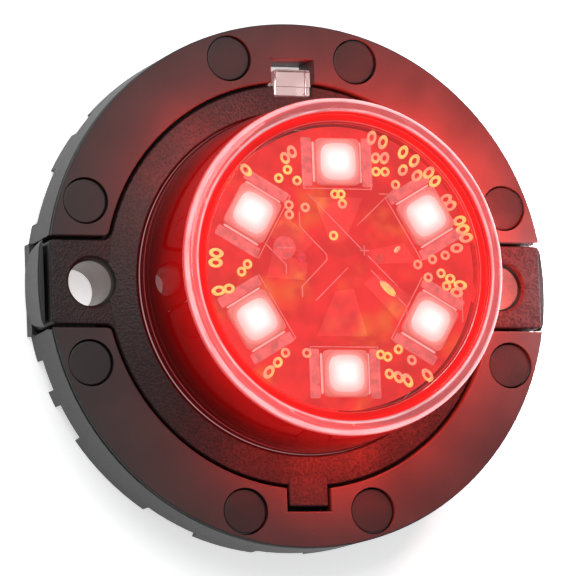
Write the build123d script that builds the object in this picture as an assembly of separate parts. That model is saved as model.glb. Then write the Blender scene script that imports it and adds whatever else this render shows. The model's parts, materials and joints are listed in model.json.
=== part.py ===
from build123d import *
import math
import os

# A round, surface-mounted LED warning light head: six LEDs behind a clear cup lens, in a black housing whose
# two ears take the fixing screws, held in a base ring by two clamp plates.
# Millimetres. The origin is the centre of the mounting face. +Z is the light's axis, pointing away from the
# panel, +Y is the side with the lens's clear key, and the two fixing screws lie along X.

# ---------------------------------------------------------------- driving dimensions
lens_radius = 16.3  # lens wall, outside, at the housing
lens_front = 19.2  # lens rim
annulus_width = 2.85  # housing's visible front, from the lens outwards
plate_width = 5.53  # clamp plates' face, from the housing's gap to the outside
ring_front = 7.0  # front face of the clamp plates
ear_half_width = 4.0  # housing ears, across the screw line
screw_hole_radius = 2.12  # fixing holes, clear for an M4 screw
cable_radius = 1.6  # bore of the cable gland

# ---------------------------------------------------------------- clearances
running_gap = 0.15  # between parts that drop into each other
plate_gap = 0.32  # visible gap round the housing
seat_gap = 0.05  # between faces that are clamped together
pin_gap = 0.05  # radial, round pins and bushes
overrun = 2.0  # how far a cutting tool runs past what it cuts
tolerance = 1e-3  # within which two sizes count as the same

# ---------------------------------------------------------------- base ring and clamp plates
plate_thickness = 1.6
plate_lip = 0.25  # thin front edge of a plate, over the shadow groove
shadow_groove = 0.4  # height of the groove between the plate's lip and the ring's wall
groove_depth = 0.7
plate_edge_radius = 0.12
ring_wall = 1.6
ring_edge_radius = 0.2
web_thickness = 1.5
pad_height = 1.6  # how far the pads stand out of the ring's back edge
ring_floor = 1.5  # under each ear
post_radius = 2.1  # heat-staked posts that hold the plates
post_hole_gap = 0.12
post_dip = 0.26  # how far a post's head lies under the plate's face
post_edge_radius = 0.15
post_inset = 2.56  # from the ring's outside to the posts' centres
post_angles = [19.84, 73.5, 106.5, 160.16]  # degrees from +X, on each plate
boss_rise = 0.6  # how far the ring bulges at the ears
boss_foot_rise = 0.1  # the same at the back edge
boss_lip_drop = 1.3  # top of the bulge, under the plates' face
boss_corner = 1.5
boss_overlap = 0.3  # how far the bulge runs into the ring's wall, past the ear's pocket
# Pads along the ring's back edge, in degrees from +X. The pattern repeats after half a turn.
pads = [(165.5, 195.5), (202.4, 206.0), (214.3, 235.5), (248.0, 262.0)]
pads += [(274.0, 286.0), (298.0, 317.3), (323.3, 332.5)]

# ---------------------------------------------------------------- housing
skin_thickness = 1.15  # front skin, under the plates' face
lens_collar_rise = 0.4  # front skin at the lens, over the plates' face
skin_edge_drop = 0.3  # front skin at its outer edge, under the plates' face
ear_drop = 0.3  # ears' face, under the plates' face
ear_setback = 0.3  # ears' ends, inside the ring's outside
ear_corner = 0.5
ear_fillet = 0.9  # between an ear and the round body
housing_edge_radius = 0.22
collar_edge_radius = 0.11
shoulder_margin = 0.05  # between the shoulder's ledge and the posts
shoulder_height = 0.9
foot_half_width = 1.95  # tab at six o'clock
foot_length = 1.95
foot_drop = 0.1
notch_depth = 2.1  # notches in the plates, from their inner edge
foot_notch_gap = 0.25

# ---------------------------------------------------------------- lens, its key and its seal
lens_wall = 1.4
lens_draft = 0.55  # how much smaller the lens is at its rim
rim_radius = 0.9  # rounding of the rim's outer corner
rim_inner_radius = 0.25
rim_rise = 0.25  # rim above the window
window_thickness = 0.75
locating_rib_height = 0.15  # rib under the window, round the board
locating_rib_width = 0.25
lens_flange_width = 0.8
lens_flange_thickness = 1.4
seal_thickness = 0.85
key_half_width = 1.75
key_length = 2.5
key_setback = 1.05  # from the housing's outside in to the key
key_rise = 0.1  # over the plates' face
key_step = 0.25  # how far the key's inner third lies lower
key_ledge = 0.83
key_side_step = 0.12  # how far the key's right side lies lower
key_side_x = 0.35
key_slot_gap = 0.4

# ---------------------------------------------------------------- fixing bushes
bush_wall = 0.63
bush_cover = 0.75  # housing left over the end of a bush
ear_hole_gap = 0.18  # ear's hole over the bush's bore
hole_chamfer = 0.2
screw_inset = 4.4  # from the ring's outside to the fixing screws

# ---------------------------------------------------------------- LED board
board_gap = 1.25  # between the lens wall and the LED board
board_thickness = 1.6
led_count = 6
led_size = 4.4
led_height = 0.45
led_corner = 0.35
dome_radius = 1.75
dome_height = 0.35
dome_air = 0.1  # between the domes and the window
led_inset = 3.34  # from the board's edge to the LEDs' centres
thermal_pad_thickness = 0.3
link_pin_radius = 0.45
link_pin_offset = 3.9  # each side of the board's centre
link_pin_y = 0.9
link_pin_proud = 0.2
link_sleeve_wall = 0.55

# ---------------------------------------------------------------- heat sink and driver
sink_top_thickness = 2.0
sink_wall = 1.2
sink_clearance = 0.15  # heat sink larger than the LED board
driver_board_thickness = 1.2
driver_board_low = 5.2
driver_post_radius = 1.6
driver_post_inset = 2.6  # from the heat sink's bore
driver_screw_radius = 0.8
driver_screw_length = 5.0
driver_head_radius = 1.5
driver_head_height = 1.0
inductor_radius = 3.1
inductor_height = 4.4
large_capacitor_radius = 2.5
large_capacitor_height = 6.2
small_capacitor_radius = 2.1
small_capacitor_height = 5.4
chip_length = 5.2
chip_width = 3.9
chip_height = 1.5
transistor_size = 3.0
transistor_height = 1.1
controller_inset = 6.0  # flash controller, from the driver board's edge
capacitor_base = 0.5
component_margin = 0.6  # from the driver board's edge
component_edge_radius = 0.3

# ---------------------------------------------------------------- rear cover, gasket and gland
cover_thickness = 1.2
gasket_thickness = 1.2
gasket_width = 3.5
cover_screw_radius = 0.55
cover_screw_length = 3.2
cover_head_radius = 0.95
cover_head_height = 0.6
cover_screw_angles = [45, 135, 225, 315]
gland_wall = 0.95
gland_flange_width = 1.0
gland_flange_thickness = 0.8

# ---------------------------------------------------------------- worked out from the above
housing_radius = lens_radius + annulus_width
plate_inner = housing_radius + plate_gap
ring_radius = plate_inner + plate_width
ring_inner = ring_radius - ring_wall
plate_low = ring_front - plate_thickness
wall_top = ring_front - plate_lip - shadow_groove
plate_root_radius = ring_radius - groove_depth
post_circle = ring_radius - post_inset
shoulder_radius = post_circle - post_radius - running_gap - shoulder_margin
shoulder_low = plate_low - shoulder_height
web_low = shoulder_low - web_thickness
notch_reach = plate_inner + notch_depth
screw_x = ring_radius - screw_inset
ear_end = ring_radius - ear_setback
ear_top = ring_front - ear_drop
ear_low = ring_floor + seat_gap
cover_low = gasket_thickness
cover_top = cover_low + cover_thickness
skin_low = ring_front - skin_thickness
seal_low = skin_low - seal_thickness
lens_flange_low = seal_low - lens_flange_thickness
lens_flange_radius = lens_radius + lens_flange_width
housing_bore = lens_flange_radius + running_gap
housing_hole = lens_radius + running_gap
bush_radius = screw_hole_radius + bush_wall
bush_top = ear_top - bush_cover
ear_hole_radius = screw_hole_radius + ear_hole_gap
rim_outer = lens_radius - lens_draft
window_front = lens_front - rim_rise
window_back = window_front - window_thickness
window_radius = rim_outer - lens_wall
board_radius = window_radius - board_gap + running_gap
led_top = window_back - dome_air
board_top = led_top - dome_height - led_height
board_low = board_top - board_thickness
led_circle = board_radius - led_inset
sink_top = board_low - thermal_pad_thickness
sink_radius = board_radius + sink_clearance
sink_bore = sink_radius - sink_wall
sink_ceiling = sink_top - sink_top_thickness
driver_board_top = driver_board_low + driver_board_thickness
driver_board_radius = sink_bore - running_gap
driver_post_circle = sink_bore - driver_post_inset
link_sleeve_radius = link_pin_radius + link_sleeve_wall
cover_radius = housing_radius - running_gap
cover_screw_circle = (housing_bore + housing_radius) / 2
gland_neck_radius = cable_radius + gland_wall

# ---------------------------------------------------------------- shapes that repeat
LOW = (Align.CENTER, Align.CENTER, Align.MIN)


def disc(radius, low, high, x=0, y=0):
    """Round bar along Z, from height low to height high."""
    return Pos(x, y, low) * Cylinder(radius, high - low, align=LOW)


def tube(outer, inner, low, high, x=0, y=0):
    """Round bar with a hole right through."""
    return disc(outer, low, high, x, y) - disc(inner, low - overrun, high + overrun, x, y)


def block(x0, x1, y0, y1, z0, z1):
    """Box between two corners."""
    return Pos(x0, y0, z0) * Box(x1 - x0, y1 - y0, z1 - z0, align=(Align.MIN, Align.MIN, Align.MIN))


def turned(points, rounds=()):
    """Solid of revolution about Z from (radius, height) points; rounds lists (point, radius)."""
    face = make_face(Polyline(points, close=True))
    for point, radius in rounds:
        corner = face.vertices().sort_by_distance((point[0], point[1], 0))[0]
        face = fillet(corner, radius)
    return revolve(Plane.XZ * face, Axis.Z)


def sector(outer, inner, low, high, start, stop):
    """Part of a ring between two angles in degrees."""
    points = [(inner, low), (outer, low), (outer, high), (inner, high)]
    face = Plane.XZ * make_face(Polyline(points, close=True))
    return Rot(0, 0, start) * revolve(face, Axis.Z, revolution_arc=stop - start)


def around(radius, angle):
    """Point on a circle about the light's axis."""
    return radius * math.cos(math.radians(angle)), radius * math.sin(math.radians(angle))


def top_edges(solid, height):
    """Edges of a solid that lie flat at one height."""
    return solid.edges().filter_by_position(Axis.Z, height - tolerance, height + tolerance)


def housing_outline():
    """The housing's front outline: round body and two ears, with filleted inner corners."""
    body = Circle(housing_radius)
    ears = RectangleRounded(2 * ear_end, 2 * ear_half_width, ear_corner)
    outline = body + ears
    inner = outline.vertices().filter_by(lambda v: abs(math.hypot(v.X, v.Y) - housing_radius) < tolerance)
    return fillet(inner, ear_fillet)


def post_places():
    """Centres of the eight posts, four to a plate."""
    return [around(post_circle, side * angle) for side in (1, -1) for angle in post_angles]


def notch_cutter(side, low):
    """Block that cuts the key's notch (side 1) or the foot tab's notch (side -1), from a height upwards."""
    half = key_half_width + key_slot_gap if side > 0 else foot_half_width + foot_notch_gap
    low_y, high_y = sorted((0, side * notch_reach))
    return block(-half, half, low_y, high_y, low, ring_front + overrun)


# ---------------------------------------------------------------- base ring
def base_ring():
    """Outer wall with a castellated back edge, a web, eight posts, and a pocket for each ear."""
    ledge_top = shoulder_low - seat_gap
    ledge_radius = shoulder_radius + running_gap
    bore = housing_radius + running_gap
    rebate = plate_root_radius + running_gap
    outline = [(ring_inner, 0), (ring_radius, 0), (ring_radius, wall_top)]
    outline += [(rebate, wall_top), (rebate, plate_low - seat_gap)]
    outline += [(ledge_radius, plate_low - seat_gap), (ledge_radius, ledge_top), (bore, ledge_top)]
    outline += [(bore, web_low), (ring_inner, web_low)]
    ring = turned(outline, [((ring_radius, wall_top), ring_edge_radius)])
    ends = [a for start, stop in pads for a in (start, stop)]
    ends = ends + [a + 180 for a in ends]
    for start, stop in zip(ends[1::2], ends[2::2] + [ends[0] + 360]):
        ring -= sector(ring_radius + overrun, ring_inner - overrun, -overrun, pad_height, start, stop)
    for side in (-1, 1):
        ring -= notch_cutter(side, web_low - overrun if side > 0 else ledge_top)
        ring = add_ear_pocket(ring, side)
    for x, y in post_places():
        post = disc(post_radius, plate_low - seat_gap, ring_front - post_dip, x, y)
        ring += fillet(top_edges(post, ring_front - post_dip), post_edge_radius)
    return ring


def add_ear_pocket(ring, side):
    """Adds the bulge, the floor and the bush hole behind one ear, and opens the ear's pocket."""
    half = ear_half_width + plate_gap
    pocket_end = ear_end + plate_gap
    lip_top = ring_front - boss_lip_drop
    boss_end = ring_radius + boss_rise
    start = housing_radius + running_gap
    rebate = plate_root_radius + running_gap
    reach = math.degrees(math.asin(half / rebate))
    boss = block(ring_inner, boss_end + overrun, -half - boss_overlap, half + boss_overlap, 0, lip_top)
    boss &= Cone(ring_radius + boss_foot_rise, boss_end, lip_top, align=LOW)
    corners = boss.edges().filter_by(lambda e: e.bounding_box().size.Z > lip_top / 2).sort_by(Axis.X)[-2:]
    boss = fillet(corners, boss_corner)
    boss = fillet(top_edges(boss, lip_top).sort_by(Axis.X)[-3:], ring_edge_radius)
    boss -= disc(rebate, plate_low - seat_gap, ring_front)
    floor = block(start, pocket_end, -half, half, 0, ring_floor)
    pocket = block(start - overrun, pocket_end, -half, half, ring_floor, lip_top)
    opening = sector(boss_end + overrun, start, lip_top, ring_front, -reach, reach)
    turn = Rot(0, 0, 0 if side > 0 else 180)
    ring = ring - turn * opening + turn * (boss + floor) - turn * pocket
    ring -= disc(start, -overrun, ring_floor)
    return ring - disc(bush_radius + pin_gap, -overrun, ring_front, side * screw_x)


# ---------------------------------------------------------------- clamp plates
def clamp_plate(side):
    """One C-shaped plate; side is 1 for the plate at +Y and -1 for the plate at -Y."""
    outline = [(0, plate_low), (plate_root_radius, plate_low), (plate_root_radius, ring_front - plate_lip)]
    outline += [(ring_radius, ring_front - plate_lip), (ring_radius, ring_front), (0, ring_front)]
    plate = turned(outline)
    opening = Pos(0, 0, plate_low - overrun) * offset(housing_outline(), plate_gap)
    plate -= extrude(opening, plate_thickness + 2 * overrun)
    half = ear_half_width + plate_gap
    low_y, high_y = sorted((side * half, side * (ring_radius + overrun)))
    plate &= block(-ring_radius, ring_radius, low_y, high_y, plate_low, ring_front)
    plate -= notch_cutter(side, plate_low - overrun)
    plate = fillet(top_edges(plate, ring_front), plate_edge_radius)
    for x, y in post_places():
        if y * side > 0:
            plate -= disc(post_radius + post_hole_gap, plate_low - overrun, ring_front + overrun, x, y)
    return plate


# ---------------------------------------------------------------- lamp housing
def lamp_housing():
    """Black housing: front skin that slopes up to the lens, side wall, shoulder, two ears and a foot tab."""
    skin_edge = ring_front - skin_edge_drop
    collar = ring_front + lens_collar_rise
    points = [(housing_bore, cover_top), (housing_radius, cover_top), (housing_radius, skin_edge)]
    points += [(housing_hole, collar), (housing_hole, skin_low), (housing_bore, skin_low)]
    rounds = [((housing_radius, skin_edge), housing_edge_radius)]
    rounds += [((housing_hole, collar), collar_edge_radius)]
    housing = turned(points, rounds)
    housing += tube(shoulder_radius, housing_bore, shoulder_low, plate_low - seat_gap)
    ears = extrude(Pos(0, 0, ear_low) * housing_outline(), ear_top - ear_low)
    ears = fillet(top_edges(ears, ear_top), housing_edge_radius)
    ears -= disc(housing_bore, 0, ring_front + overrun)
    ears -= tube(housing_radius + running_gap, housing_bore, 0, cover_top)
    housing += ears
    foot_end = housing_radius + foot_length
    foot_top = ring_front - foot_drop
    foot = block(-foot_half_width, foot_half_width, -foot_end, -housing_bore, shoulder_low, foot_top)
    foot_corners = foot.edges().filter_by(Axis.Z).sort_by(Axis.Y)[:2]
    housing += fillet(top_edges(foot, foot_top) + foot_corners, housing_edge_radius)
    slot = key_half_width + key_slot_gap / 2
    key_wall = housing_radius - key_setback - running_gap
    housing -= block(-slot, slot, key_wall, ring_radius, 0, ring_front + overrun)
    housing -= block(-slot, slot, housing_bore - overrun, housing_radius, 0, seal_low + running_gap)
    for side in (-1, 1):
        housing -= disc(bush_radius + pin_gap, 0, bush_top + seat_gap, side * screw_x)
        housing -= disc(ear_hole_radius, 0, ring_front, side * screw_x)
        mouth = Pos(side * screw_x, 0, ear_top - hole_chamfer)
        housing -= mouth * Cone(ear_hole_radius, ear_hole_radius + hole_chamfer, hole_chamfer, align=LOW)
    for angle in cover_screw_angles:
        x, y = around(cover_screw_circle, angle)
        housing -= disc(cover_screw_radius + pin_gap, 0, cover_top + cover_screw_length, x, y)
    return housing


# ---------------------------------------------------------------- lens and seal
def lens():
    """Clear cup: drafted wall, window with a raised rounded rim, flange, and the key at twelve o'clock."""
    inner = lens_radius - lens_wall
    flange_top = lens_flange_low + lens_flange_thickness
    points = [(inner, lens_flange_low), (lens_flange_radius, lens_flange_low)]
    points += [(lens_flange_radius, flange_top), (lens_radius, flange_top), (lens_radius, ring_front)]
    points += [(rim_outer, lens_front), (window_radius, lens_front), (window_radius, window_front)]
    points += [(0, window_front), (0, window_back), (window_radius, window_back), (inner, ring_front)]
    rounds = [((rim_outer, lens_front), rim_radius), ((window_radius, lens_front), rim_inner_radius)]
    cup = turned(points, rounds)
    rib_inner = board_radius + running_gap
    cup += tube(rib_inner + locating_rib_width, rib_inner, window_back - locating_rib_height, window_back)
    key_in = housing_radius - key_setback
    key_out = key_in + key_length
    key_top = ring_front + key_rise
    key_root = lens_radius - lens_wall / 2
    key = block(-key_half_width, key_half_width, key_root, key_out, lens_flange_low, flange_top)
    key += block(-key_half_width, key_side_x, key_in, key_out, lens_flange_low, key_top)
    key += block(key_side_x, key_half_width, key_in, key_out, lens_flange_low, key_top - key_side_step)
    key -= block(-key_half_width, key_half_width, 0, key_in + key_ledge, key_top - key_step, key_top)
    return cup + key


def lens_seal():
    """Square-section ring between the lens's flange and the housing's skin."""
    return tube(lens_flange_radius, housing_hole, seal_low, skin_low)


# ---------------------------------------------------------------- LED board and LEDs
def link_places():
    """Where the two supply pins come up through the LED board."""
    return [(-link_pin_offset, link_pin_y), (link_pin_offset, link_pin_y)]


def led_board():
    """Round board with two supply holes."""
    board = disc(board_radius, board_low, board_top)
    for x, y in link_places():
        board -= disc(link_pin_radius + pin_gap, board_low - overrun, board_top + overrun, x, y)
    return board


def thermal_pad():
    """Soft pad between the LED board and the heat sink."""
    pad = disc(board_radius, sink_top, board_low)
    for x, y in link_places():
        pad -= disc(link_sleeve_radius + pin_gap, sink_top - overrun, board_low + overrun, x, y)
    return pad


def led_place(index):
    """Puts a shape made at the origin onto the board at one of the LEDs."""
    angle = 90 + index * 360 / led_count
    x, y = around(led_circle, angle)
    return Pos(x, y, board_top) * Rot(0, 0, angle - 90)


def led_package(index):
    """Square white package of one LED."""
    body = extrude(RectangleRounded(led_size, led_size, led_corner), led_height)
    return led_place(index) * body


def led_dome(index):
    """Shallow clear dome on one LED: a slice of a ball."""
    ball = (dome_radius**2 + dome_height**2) / (2 * dome_height)
    cap = Pos(0, 0, dome_height - ball) * Sphere(ball)
    cap &= disc(dome_radius + overrun, 0, dome_height + overrun)
    return led_place(index) * Pos(0, 0, led_height) * cap


# ---------------------------------------------------------------- heat sink, driver board and links
def driver_post_places():
    """Centres of the three posts that carry the driver board."""
    return [around(driver_post_circle, angle) for angle in (90, 210, 330)]


def heat_sink():
    """Turned aluminium cup: top plate under the LED board, wall, clamped flange and three posts inside."""
    points = [(sink_bore, cover_top), (lens_flange_radius, cover_top), (lens_flange_radius, lens_flange_low)]
    points += [(sink_radius, lens_flange_low), (sink_radius, sink_top), (0, sink_top), (0, sink_ceiling)]
    points += [(sink_bore, sink_ceiling)]
    sink = turned(points)
    for x, y in driver_post_places():
        sink += disc(driver_post_radius, driver_board_top, sink_ceiling, x, y)
        sink -= disc(driver_screw_radius + pin_gap, 0, driver_board_low + driver_screw_length, x, y)
    for x, y in link_places():
        sink -= disc(link_sleeve_radius + pin_gap, 0, sink_top + overrun, x, y)
    return sink


def driver_board():
    """Round board that drives the LEDs."""
    board = disc(driver_board_radius, driver_board_low, driver_board_top)
    for x, y in driver_post_places():
        board -= disc(driver_screw_radius + pin_gap, 0, ring_front, x, y)
    for x, y in link_places():
        board -= disc(link_pin_radius + pin_gap, 0, ring_front, x, y)
    return board


def driver_screws():
    """Three screws that hold the driver board to the heat sink's posts."""
    screws = []
    for x, y in driver_post_places():
        head_low = driver_board_low - driver_head_height
        tip = driver_board_low + driver_screw_length - running_gap
        shank = disc(driver_screw_radius, head_low, tip, x, y)
        screws.append(shank + disc(driver_head_radius, head_low, driver_board_low, x, y))
    return Compound(screws)


def link_pins():
    """Two pins that carry the supply from the driver board to the LED board."""
    low = driver_board_low - link_pin_proud
    high = board_top + link_pin_proud
    return Compound([disc(link_pin_radius, low, high, x, y) for x, y in link_places()])


def link_sleeves():
    """Insulating sleeves round the two pins, where they pass the heat sink."""
    bore = link_pin_radius + pin_gap
    low, high = driver_board_top, board_low
    return Compound([tube(link_sleeve_radius, bore, low, high, x, y) for x, y in link_places()])


def inductor():
    """Round shielded coil."""
    y = component_margin + inductor_radius - driver_board_radius
    body = disc(inductor_radius, driver_board_top, driver_board_top + inductor_height, 0, y)
    return fillet(top_edges(body, driver_board_top + inductor_height), component_edge_radius)


def capacitor(radius, height, side):
    """Electrolytic can on its square base, beside the middle of the driver board."""
    x = side * (driver_board_radius - radius - component_margin)
    base = block(x - radius, x + radius, -radius, radius, driver_board_top, driver_board_top + capacitor_base)
    can = disc(radius - running_gap, driver_board_top, driver_board_top + height, x)
    return base + fillet(top_edges(can, driver_board_top + height), component_edge_radius)


def flash_controller():
    """Chip that times the flash patterns."""
    y = driver_board_radius - controller_inset
    chip = Box(chip_length, chip_width, chip_height, align=LOW)
    return Pos(0, y, driver_board_top) * chip


def power_transistor():
    """Switching transistor in the middle of the driver board."""
    return Pos(0, 0, driver_board_top) * Box(transistor_size, transistor_size, transistor_height, align=LOW)


# ---------------------------------------------------------------- rear parts
def bush_clearance(part):
    """Cuts the two fixing bushes' space out of a part near the mounting face."""
    for side in (-1, 1):
        part -= disc(bush_radius + running_gap, -overrun, ring_front, side * screw_x)
    return part


def rear_cover():
    """Disc that closes the housing, with the gland's hole and four sunk screw holes."""
    cover = disc(cover_radius, cover_low, cover_top) - disc(gland_neck_radius + pin_gap, 0, ring_front)
    for angle in cover_screw_angles:
        x, y = around(cover_screw_circle, angle)
        cover -= disc(cover_screw_radius + pin_gap, 0, ring_front, x, y)
        cover -= disc(cover_head_radius + pin_gap, 0, cover_low + cover_head_height, x, y)
    return bush_clearance(cover)


def cover_screws():
    """Four small screws that hold the rear cover to the housing."""
    screws = []
    for angle in cover_screw_angles:
        x, y = around(cover_screw_circle, angle)
        low = cover_low + seat_gap
        shank = disc(cover_screw_radius, low, cover_top + cover_screw_length - running_gap, x, y)
        screws.append(shank + disc(cover_head_radius, low, cover_low + cover_head_height, x, y))
    return Compound(screws)


def rear_gasket():
    """Foam ring between the rear cover and the panel."""
    return bush_clearance(tube(cover_radius, cover_radius - gasket_width, 0, gasket_thickness))


def cable_gland():
    """Rubber grommet that grips the rear cover's hole, with the cable's bore through it."""
    flange = gland_neck_radius + gland_flange_width
    gland = disc(gland_neck_radius, cover_low - gland_flange_thickness, cover_top + gland_flange_thickness)
    gland += disc(flange, cover_low - gland_flange_thickness, cover_low)
    gland += disc(flange, cover_top, cover_top + gland_flange_thickness)
    return gland - disc(cable_radius, -overrun, ring_front)


def fixing_bush(side):
    """Metal sleeve that takes the load of one fixing screw."""
    bush = tube(bush_radius, screw_hole_radius, 0, bush_top)
    bush = chamfer(top_edges(bush, bush_top).sort_by(SortBy.RADIUS)[0], hole_chamfer)
    return Pos(side * screw_x, 0, 0) * bush


# ---------------------------------------------------------------- write every node
nodes = {
    "base_ring": base_ring(),
    "upper_clamp_plate": clamp_plate(1),
    "lower_clamp_plate": clamp_plate(-1),
    "lamp_housing": lamp_housing(),
    "left_fixing_bush": fixing_bush(-1),
    "right_fixing_bush": fixing_bush(1),
    "lens": lens(),
    "lens_seal": lens_seal(),
    "led_board": led_board(),
    "thermal_pad": thermal_pad(),
    "heat_sink": heat_sink(),
    "driver_board": driver_board(),
    "driver_screws": driver_screws(),
    "link_pins": link_pins(),
    "link_sleeves": link_sleeves(),
    "inductor": inductor(),
    "input_capacitor": capacitor(large_capacitor_radius, large_capacitor_height, -1),
    "output_capacitor": capacitor(small_capacitor_radius, small_capacitor_height, 1),
    "flash_controller": flash_controller(),
    "power_transistor": power_transistor(),
    "rear_cover": rear_cover(),
    "cover_screws": cover_screws(),
    "rear_gasket": rear_gasket(),
    "cable_gland": cable_gland(),
}
for number in range(led_count):
    nodes[f"led_package_{number + 1}"] = led_package(number)
    nodes[f"led_dome_{number + 1}"] = led_dome(number)

os.makedirs("parts", exist_ok=True)
for name, shape in nodes.items():
    export_step(shape, f"parts/{name}.step")
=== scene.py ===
"""The looks of a round warning light head: six red LEDs behind a clear cup lens, in a black screw-on housing.

Sizes in this script are millimetres, and turn into metres where a mesh, a finish or a light is made. The
axis of the lamp is +Z.
"""

import json

import bmesh
import bpy
import numpy as np
from mathutils import Matrix, Vector


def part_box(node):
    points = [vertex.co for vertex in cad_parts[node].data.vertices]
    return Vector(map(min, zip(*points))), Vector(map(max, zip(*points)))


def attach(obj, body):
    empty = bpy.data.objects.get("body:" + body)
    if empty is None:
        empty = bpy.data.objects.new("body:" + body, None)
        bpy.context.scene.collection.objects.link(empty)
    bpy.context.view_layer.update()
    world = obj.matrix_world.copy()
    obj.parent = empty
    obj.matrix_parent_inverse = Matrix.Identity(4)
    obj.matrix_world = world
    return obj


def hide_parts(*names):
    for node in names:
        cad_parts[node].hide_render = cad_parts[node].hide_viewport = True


MM = 0.001

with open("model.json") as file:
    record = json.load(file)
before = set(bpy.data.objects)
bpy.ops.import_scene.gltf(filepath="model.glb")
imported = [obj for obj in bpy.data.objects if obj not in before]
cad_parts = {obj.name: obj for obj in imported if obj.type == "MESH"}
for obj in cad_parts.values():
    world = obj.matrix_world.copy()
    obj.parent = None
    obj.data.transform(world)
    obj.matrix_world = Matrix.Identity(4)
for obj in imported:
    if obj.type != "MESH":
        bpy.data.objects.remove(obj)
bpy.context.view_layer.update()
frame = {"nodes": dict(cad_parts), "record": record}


def top_of(node):
    """Height of a node's top, in millimetres."""
    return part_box(node)[1].z / MM


def foot_of(node):
    """Height of a node's underside, in millimetres."""
    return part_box(node)[0].z / MM


def reach_of(node):
    """How far a node reaches along +X, in millimetres."""
    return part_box(node)[1].x / MM


# ---------------------------------------------------------------- sizes
plate_front = top_of("upper_clamp_plate")
board_front = top_of("led_board")
package_height = top_of("led_package_1") - foot_of("led_package_1")
dome_front = top_of("led_dome_1")
lens_front = top_of("lens")
lens_foot = foot_of("lens")
flange_radius = reach_of("lens")
key_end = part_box("lens")[1].y / MM

lens_radius = 16.3
lens_wall = 1.4
lens_draft = 0.55
flange_front = 5.0
window_front = 18.95
window_back = 18.2
rim_rounding = 0.9
rib_radius = 13.4
rib_width = 0.25
rib_depth = 0.15
key_half_width = 1.75
key_length = 2.5
key_rise = 0.1
key_step = 0.25
key_ledge = 0.83
key_side_step = 0.12

led_count = 6
led_circle = 9.91
package_half = 2.2
dome_radius = 1.75
TURN = 2 * np.pi


# ---------------------------------------------------------------- surfaces
def quads_of(rows, columns, join_rows=False, join_columns=False):
    """Corner numbers of the quads between neighbouring rows and columns; a joined side closes on itself."""
    row = np.arange(rows if join_rows else rows - 1)[:, None]
    column = np.arange(columns if join_columns else columns - 1)[None, :]
    next_row, next_column = (row + 1) % rows, (column + 1) % columns
    corners = [row * columns + column, row * columns + next_column]
    corners += [next_row * columns + next_column, next_row * columns + column]
    return np.stack(np.broadcast_arrays(*corners), axis=-1).reshape(-1, 4)


def merged(mesh, reach=1e-8):
    """Joins points that coincide and points every face outwards."""
    shape = bmesh.new()
    shape.from_mesh(mesh)
    bmesh.ops.remove_doubles(shape, verts=shape.verts, dist=reach)
    bmesh.ops.dissolve_degenerate(shape, edges=shape.edges, dist=reach)
    bmesh.ops.recalc_face_normals(shape, faces=shape.faces)
    shape.to_mesh(mesh)
    shape.free()


def piece(name, points, faces, finish, slot, stands_for=(), crease=35.0, local=None):
    """Writes a mesh in metres, closes its seams, gives it its finish and puts it on the frame.

    local holds each point's place on its own small part, for finishes drawn about that part's middle.
    """
    mesh = bpy.data.meshes.new(name)
    flat = np.asarray(points, float).reshape(-1, 3) * MM
    mesh.from_pydata(flat.tolist(), [], faces if isinstance(faces, list) else faces.tolist())
    if local is not None:
        layer = mesh.attributes.new("local", "FLOAT_VECTOR", "POINT")
        layer.data.foreach_set("vector", np.asarray(local, np.float32).ravel())
    merged(mesh)
    mesh.polygons.foreach_set("use_smooth", np.ones(len(mesh.polygons), bool))
    mesh.set_sharp_from_angle(angle=np.radians(crease))
    mesh.materials.append(finish)
    made = bpy.data.objects.new(name, mesh)
    bpy.context.scene.collection.objects.link(made)
    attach(made, "root")
    if stands_for:
        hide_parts(*stands_for)
    return made


def rounded(corners, radii, steps=7):
    """Outline whose corners are swapped for arcs that touch both sides.

    The arc's centre lies on the corner's bisector, its radius over the sine of the half angle away, and the
    arc turns from one touching point to the other in equal steps.
    """
    corners = np.asarray(corners, float)
    back, ahead = np.roll(corners, 1, axis=0) - corners, np.roll(corners, -1, axis=0) - corners
    back /= np.linalg.norm(back, axis=1, keepdims=True)
    ahead /= np.linalg.norm(ahead, axis=1, keepdims=True)
    outline = []
    for corner, before, after, radius in zip(corners, back, ahead, radii):
        if radius == 0:
            outline.append(corner[None])
            continue
        half = np.arccos(np.clip(before @ after, -1, 1)) / 2
        bisector = (before + after) / np.linalg.norm(before + after)
        centre = corner + bisector * radius / np.sin(half)
        start = corner + before * radius / np.tan(half) - centre
        stop = corner + after * radius / np.tan(half) - centre
        share = np.linspace(0, 1, steps)[:, None]
        sweep = np.pi - 2 * half
        arc = np.sin((1 - share) * sweep) * start + np.sin(share * sweep) * stop
        outline.append(centre + arc / np.sin(sweep))
    return np.concatenate(outline)


def turned(profile, turns):
    """Surface of revolution: every profile point (radius, height) is carried once round the light's axis."""
    angle = np.linspace(0, TURN, turns, endpoint=False)[:, None]
    radius, height = np.asarray(profile, float).T
    return np.stack([radius * np.cos(angle), radius * np.sin(angle), height + 0 * angle], axis=-1)


def turned_piece(name, profile, finish, slot, stands_for=(), turns=224, crease=35.0):
    """A closed profile turned into a solid of revolution."""
    faces = quads_of(turns, len(profile), join_rows=True, join_columns=True)
    return piece(name, turned(profile, turns), faces, finish, slot, stands_for, crease)


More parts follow.
